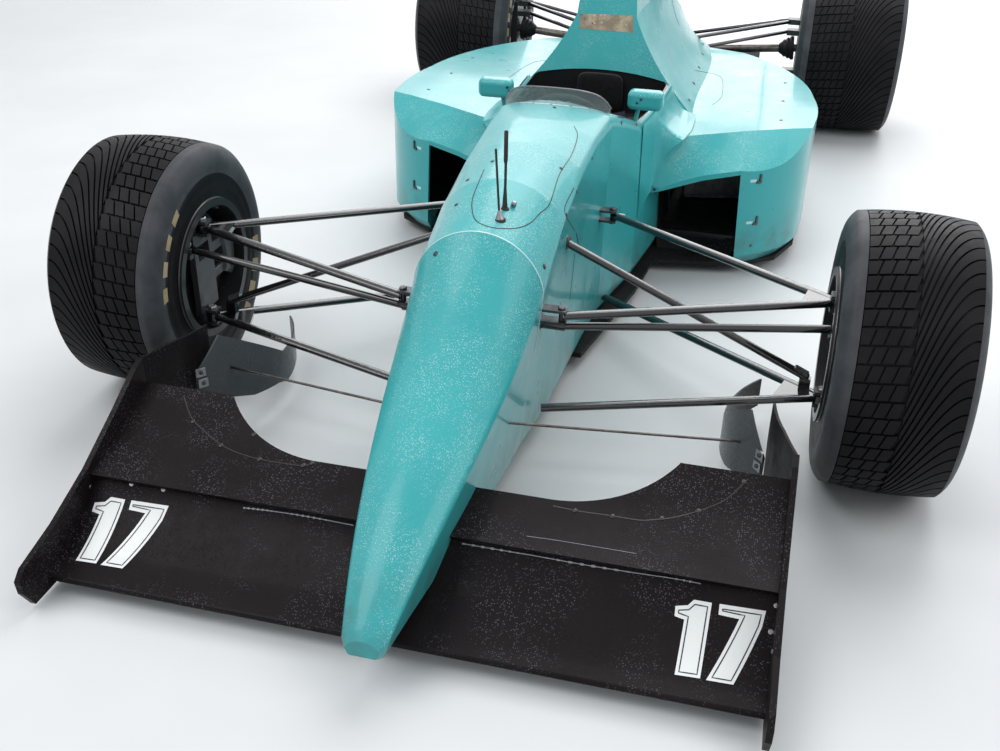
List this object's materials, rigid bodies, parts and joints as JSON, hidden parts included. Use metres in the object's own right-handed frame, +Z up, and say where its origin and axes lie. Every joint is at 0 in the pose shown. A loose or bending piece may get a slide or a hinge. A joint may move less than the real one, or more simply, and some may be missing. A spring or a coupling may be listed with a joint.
{
  "type": "open wheel racing car",
  "caption": "Single seat open wheel racing car with a high nose, low front wing, side pods, airbox and wet weather tyres; wheels roll and the front pair steers.",
  "frame": {"origin": "on the ground at the centre of the car's box", "axes": "+X to the car's left, +Y rearward, +Z up; the nose points along -Y"},
  "size_m": [2.1174, 4.365, 0.9654],
  "materials": {
    "body_paint": "gloss turquoise over carbon fibre",
    "wing_carbon": "satin black carbon fibre",
    "floor_carbon": "matt black carbon fibre",
    "suspension_black": "gloss black enamel",
    "vane_grey": "gloss dark grey carbon fibre",
    "rim_black": "satin black magnesium",
    "upright_metal": "dark machined casting",
    "tyre_rubber": "wet weather tread",
    "bare_metal": "machined",
    "case_metal": "cast",
    "steel_tube": "heat tinted",
    "screen": "smoked clear polycarbonate",
    "pad_fabric": "black woven pad",
    "trim_black": "matt black",
    "lamp_red": "red lens"
  },
  "bodies": {
    "chassis": {"nose_cone": "body_paint", "monocoque": "body_paint", "engine_cover": "body_paint", "sidepod_left": "body_paint", "sidepod_right": "body_paint", "radiators": "case_metal", "underfloor": "floor_carbon", "front_wing_mainplane": "wing_carbon", "front_wing_flaps": "wing_carbon", "front_wing_end_plates": "wing_carbon", "turning_vanes": "vane_grey", "wing_stays": "steel_tube", "rear_wing_planes": "wing_carbon", "rear_wing_end_plates": "wing_carbon", "rear_wing_pylons": "wing_carbon", "rain_light": "lamp_red", "engine_block": "case_metal", "gearbox": "case_metal", "exhausts": "steel_tube", "driveshafts": "steel_tube", "windscreen": "screen", "mirrors": "body_paint", "antennas": "trim_black", "seat": "trim_black", "headrest": "pad_fabric", "dashboard": "trim_black", "front_upper_wishbones": "suspension_black", "front_lower_wishbones": "suspension_black", "front_suspension_brackets": "bare_metal", "front_pushrods": "suspension_black", "rear_upper_wishbones": "suspension_black", "rear_lower_wishbones": "suspension_black", "rear_uprights": "upright_metal"},
    "knuckle_left": {"front_upright_left": "upright_metal"},
    "knuckle_right": {"front_upright_right": "upright_metal"},
    "front_wheel_left": {"front_rim_left": "rim_black", "front_tyre_left": "tyre_rubber"},
    "front_wheel_right": {"front_rim_right": "rim_black", "front_tyre_right": "tyre_rubber"},
    "rear_wheel_left": {"rear_rim_left": "rim_black", "rear_tyre_left": "tyre_rubber"},
    "rear_wheel_right": {"rear_rim_right": "rim_black", "rear_tyre_right": "tyre_rubber"},
    "steering_rack": {"track_rods": "suspension_black"},
    "steering_wheel": {"steering_wheel": "trim_black"}
  },
  "joints": [
    {"name": "steer_left", "type": "hinge", "parent": "chassis", "child": "knuckle_left", "pos_m": [0.768, -1.2025, 0.313], "axis": [0, 0, 1], "range_deg": [-14, 14]},
    {"name": "steer_right", "type": "hinge", "parent": "chassis", "child": "knuckle_right", "pos_m": [-0.768, -1.2025, 0.313], "axis": [0, 0, 1], "range_deg": [-14, 14]},
    {"name": "rack_slide", "type": "slide", "parent": "chassis", "child": "steering_rack", "axis": [1, 0, 0], "range_m": [-0.0196, 0.0196]},
    {"name": "steering_wheel_turn", "type": "hinge", "parent": "chassis", "child": "steering_wheel", "pos_m": [0, -0.4575, 0.52], "axis": [0, 0.9438, 0.3304], "range_deg": [-141, 141]},
    {"name": "front_wheel_left_spin", "type": "hinge", "parent": "knuckle_left", "child": "front_wheel_left", "pos_m": [0.907, -1.1775, 0.3175], "axis": [1, 0, 0], "continuous": true},
    {"name": "front_wheel_right_spin", "type": "hinge", "parent": "knuckle_right", "child": "front_wheel_right", "pos_m": [-0.907, -1.1775, 0.3175], "axis": [1, 0, 0], "continuous": true},
    {"name": "rear_wheel_left_spin", "type": "hinge", "parent": "chassis", "child": "rear_wheel_left", "pos_m": [0.846, 1.6825, 0.334], "axis": [1, 0, 0], "continuous": true},
    {"name": "rear_wheel_right_spin", "type": "hinge", "parent": "chassis", "child": "rear_wheel_right", "pos_m": [-0.846, 1.6825, 0.334], "axis": [1, 0, 0], "continuous": true}
  ],
  "couplings": [
    {"joint": "steer_right", "follows": "steer_left", "ratio": 1},
    {"joint": "rack_slide", "follows": "steer_left", "m_per_rad": 0.08},
    {"joint": "steering_wheel_turn", "follows": "steer_left", "ratio": 10}
  ]
}
